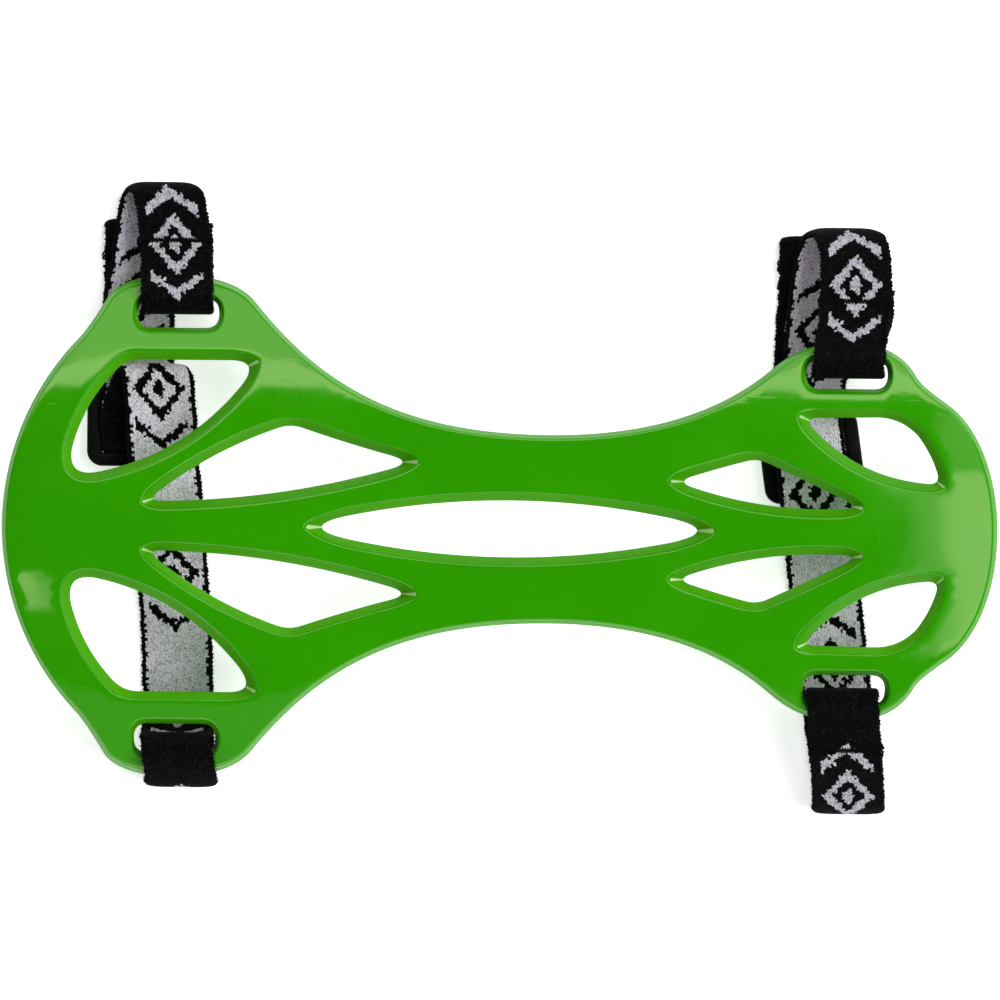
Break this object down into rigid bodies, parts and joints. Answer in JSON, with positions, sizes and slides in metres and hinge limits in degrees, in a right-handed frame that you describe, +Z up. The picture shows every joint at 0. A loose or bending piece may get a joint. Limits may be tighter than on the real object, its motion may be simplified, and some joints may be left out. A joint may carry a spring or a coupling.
{
  "type": "archery arm guard",
  "caption": "Curved moulded plastic forearm guard for archery, with tapered cut-out windows and patterned elastic straps adjusted by slider buckles, lying crown up.",
  "frame": {"origin": "under the middle of the whole part, on the surface that it lies on", "axes": "+X along the plate towards the wrist end, +Y across the arm towards the strap ends with the free tails, +Z up out of the crown of the plate"},
  "size_m": [0.175, 0.1104, 0.0227],
  "materials": {
    "green_plastic": "polished moulded plastic",
    "knit_elastic": "ribbed jacquard knit, black and white",
    "black_plastic": "satin moulded plastic"
  },
  "bodies": {
    "root": {"guard_plate": "green_plastic", "elbow_strap_upper": "knit_elastic", "elbow_strap_lower": "knit_elastic", "elbow_slider": "black_plastic", "wrist_strap_upper": "knit_elastic", "wrist_strap_lower": "knit_elastic", "wrist_slider": "black_plastic"}
  },
  "joints": []
}
